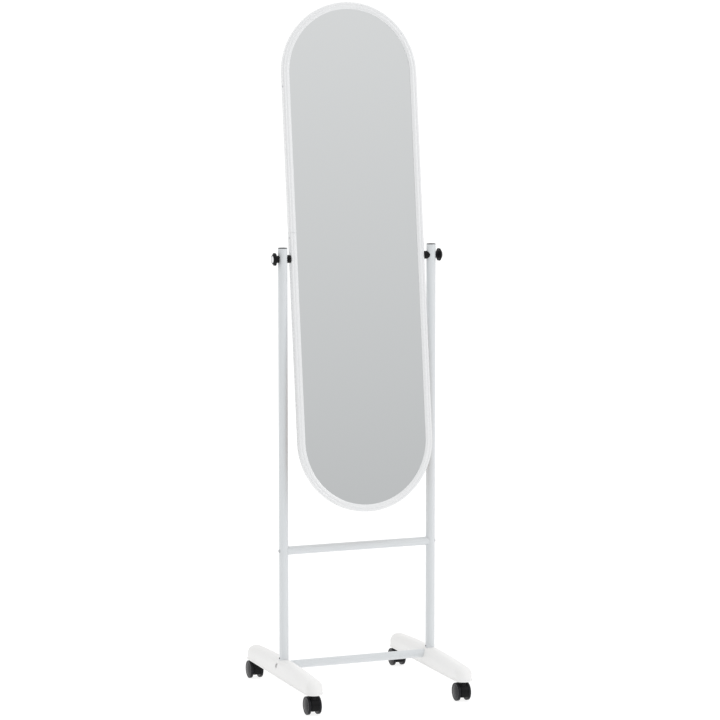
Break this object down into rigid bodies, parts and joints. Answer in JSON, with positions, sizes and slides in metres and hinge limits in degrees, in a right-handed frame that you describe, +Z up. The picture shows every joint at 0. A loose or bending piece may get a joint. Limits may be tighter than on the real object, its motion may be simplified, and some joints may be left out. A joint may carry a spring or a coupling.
{
  "type": "cheval floor mirror",
  "caption": "Full-length mirror with round ends, tilting on clamp knobs between two uprights on crossbarred feet with twin-wheel casters.",
  "frame": {"origin": "on the floor, midway between the two uprights' axes", "axes": "+X to the right of someone facing the mirror, +Y to the rear (the mirror faces -Y), +Z up"},
  "size_m": [0.4068, 0.4344, 1.5608],
  "materials": {
    "stand_paint": "white satin powder coat",
    "frame_paint": "white satin paint",
    "silvered_glass": "silvered plane glass",
    "hardboard": "brown hardboard",
    "zinc_steel": "zinc plated",
    "dark_screws": "blackened",
    "foot_plastic": "warm white, fine grain",
    "black_plastic": "black, fine grain",
    "socket_plastic": "grey sleeve",
    "wheel_plastic": "black nylon",
    "knob_inset": "pale inset"
  },
  "bodies": {
    "stand": {"upright_left": "stand_paint", "upright_right": "stand_paint", "tube_cap_left": "black_plastic", "tube_cap_right": "black_plastic", "inner_spacer_left": "black_plastic", "inner_spacer_right": "black_plastic", "middle_crossbar": "stand_paint", "lower_crossbar": "stand_paint", "middle_bar_inserts": "zinc_steel", "lower_bar_inserts": "zinc_steel", "middle_bar_screws": "zinc_steel", "lower_bar_screws": "dark_screws", "foot_left": "foot_plastic", "foot_right": "foot_plastic", "foot_lock_screws": "dark_screws", "caster_sockets": "socket_plastic"},
    "mirror": {"mirror_frame": "frame_paint", "mirror_glass": "silvered_glass", "backing_board": "hardboard", "frame_joint_sleeve": "zinc_steel", "frame_side_screws": "zinc_steel", "backing_clips": "zinc_steel", "pivot_insert_left": "zinc_steel", "pivot_insert_right": "zinc_steel"},
    "washer_left": {"saddle_washer_left": "black_plastic"},
    "clamp_knob_left": {"knob_left": "black_plastic", "knob_bolt_left": "zinc_steel", "knob_cap_left": "knob_inset"},
    "washer_right": {"saddle_washer_right": "black_plastic"},
    "clamp_knob_right": {"knob_right": "black_plastic", "knob_bolt_right": "zinc_steel", "knob_cap_right": "knob_inset"},
    "caster_front_left": {"caster_hood_front_left": "black_plastic", "caster_stem_front_left": "zinc_steel", "caster_axle_front_left": "zinc_steel"},
    "wheel_front_left_outer": {"wheel_front_left_outer": "wheel_plastic"},
    "wheel_front_left_inner": {"wheel_front_left_inner": "wheel_plastic"},
    "caster_front_right": {"caster_hood_front_right": "black_plastic", "caster_stem_front_right": "zinc_steel", "caster_axle_front_right": "zinc_steel"},
    "wheel_front_right_outer": {"wheel_front_right_outer": "wheel_plastic"},
    "wheel_front_right_inner": {"wheel_front_right_inner": "wheel_plastic"},
    "caster_rear_left": {"caster_hood_rear_left": "black_plastic", "caster_stem_rear_left": "zinc_steel", "caster_axle_rear_left": "zinc_steel"},
    "wheel_rear_left_outer": {"wheel_rear_left_outer": "wheel_plastic"},
    "wheel_rear_left_inner": {"wheel_rear_left_inner": "wheel_plastic"},
    "caster_rear_right": {"caster_hood_rear_right": "black_plastic", "caster_stem_rear_right": "zinc_steel", "caster_axle_rear_right": "zinc_steel"},
    "wheel_rear_right_outer": {"wheel_rear_right_outer": "wheel_plastic"},
    "wheel_rear_right_inner": {"wheel_rear_right_inner": "wheel_plastic"}
  },
  "joints": [
    {"name": "mirror_tilt", "type": "hinge", "parent": "stand", "child": "mirror", "pos_m": [0, 0, 0.992], "axis": [1, 0, 0], "continuous": true},
    {"name": "knob_travel_left", "type": "slide", "parent": "stand", "child": "washer_left", "axis": [-1, 0, 0], "range_m": [0, 0.002]},
    {"name": "knob_turn_left", "type": "hinge", "parent": "washer_left", "child": "clamp_knob_left", "pos_m": [-0.179, 0, 0.992], "axis": [-1, 0, 0], "range_deg": [0, 721]},
    {"name": "knob_travel_right", "type": "slide", "parent": "stand", "child": "washer_right", "axis": [1, 0, 0], "range_m": [0, 0.002]},
    {"name": "knob_turn_right", "type": "hinge", "parent": "washer_right", "child": "clamp_knob_right", "pos_m": [0.179, 0, 0.992], "axis": [1, 0, 0], "range_deg": [0, 721]},
    {"name": "swivel_front_left", "type": "hinge", "parent": "stand", "child": "caster_front_left", "pos_m": [-0.179, -0.192, 0.05], "axis": [0, 0, 1], "continuous": true},
    {"name": "roll_front_left_outer", "type": "hinge", "parent": "caster_front_left", "child": "wheel_front_left_outer", "pos_m": [-0.179, -0.182, 0.0206], "axis": [1, 0, 0], "continuous": true},
    {"name": "roll_front_left_inner", "type": "hinge", "parent": "caster_front_left", "child": "wheel_front_left_inner", "pos_m": [-0.179, -0.182, 0.0206], "axis": [1, 0, 0], "continuous": true},
    {"name": "swivel_front_right", "type": "hinge", "parent": "stand", "child": "caster_front_right", "pos_m": [0.179, -0.192, 0.05], "axis": [0, 0, 1], "continuous": true},
    {"name": "roll_front_right_outer", "type": "hinge", "parent": "caster_front_right", "child": "wheel_front_right_outer", "pos_m": [0.179, -0.182, 0.0206], "axis": [1, 0, 0], "continuous": true},
    {"name": "roll_front_right_inner", "type": "hinge", "parent": "caster_front_right", "child": "wheel_front_right_inner", "pos_m": [0.179, -0.182, 0.0206], "axis": [1, 0, 0], "continuous": true},
    {"name": "swivel_rear_left", "type": "hinge", "parent": "stand", "child": "caster_rear_left", "pos_m": [-0.179, 0.192, 0.05], "axis": [0, 0, 1], "continuous": true},
    {"name": "roll_rear_left_outer", "type": "hinge", "parent": "caster_rear_left", "child": "wheel_rear_left_outer", "pos_m": [-0.179, 0.202, 0.0206], "axis": [1, 0, 0], "continuous": true},
    {"name": "roll_rear_left_inner", "type": "hinge", "parent": "caster_rear_left", "child": "wheel_rear_left_inner", "pos_m": [-0.179, 0.202, 0.0206], "axis": [1, 0, 0], "continuous": true},
    {"name": "swivel_rear_right", "type": "hinge", "parent": "stand", "child": "caster_rear_right", "pos_m": [0.179, 0.192, 0.05], "axis": [0, 0, 1], "continuous": true},
    {"name": "roll_rear_right_outer", "type": "hinge", "parent": "caster_rear_right", "child": "wheel_rear_right_outer", "pos_m": [0.179, 0.202, 0.0206], "axis": [1, 0, 0], "continuous": true},
    {"name": "roll_rear_right_inner", "type": "hinge", "parent": "caster_rear_right", "child": "wheel_rear_right_inner", "pos_m": [0.179, 0.202, 0.0206], "axis": [1, 0, 0], "continuous": true}
  ],
  "couplings": [
    {"joint": "knob_turn_left", "follows": "knob_travel_left", "rad_per_m": 6283.2},
    {"joint": "knob_turn_right", "follows": "knob_travel_right", "rad_per_m": 6283.2}
  ]
}
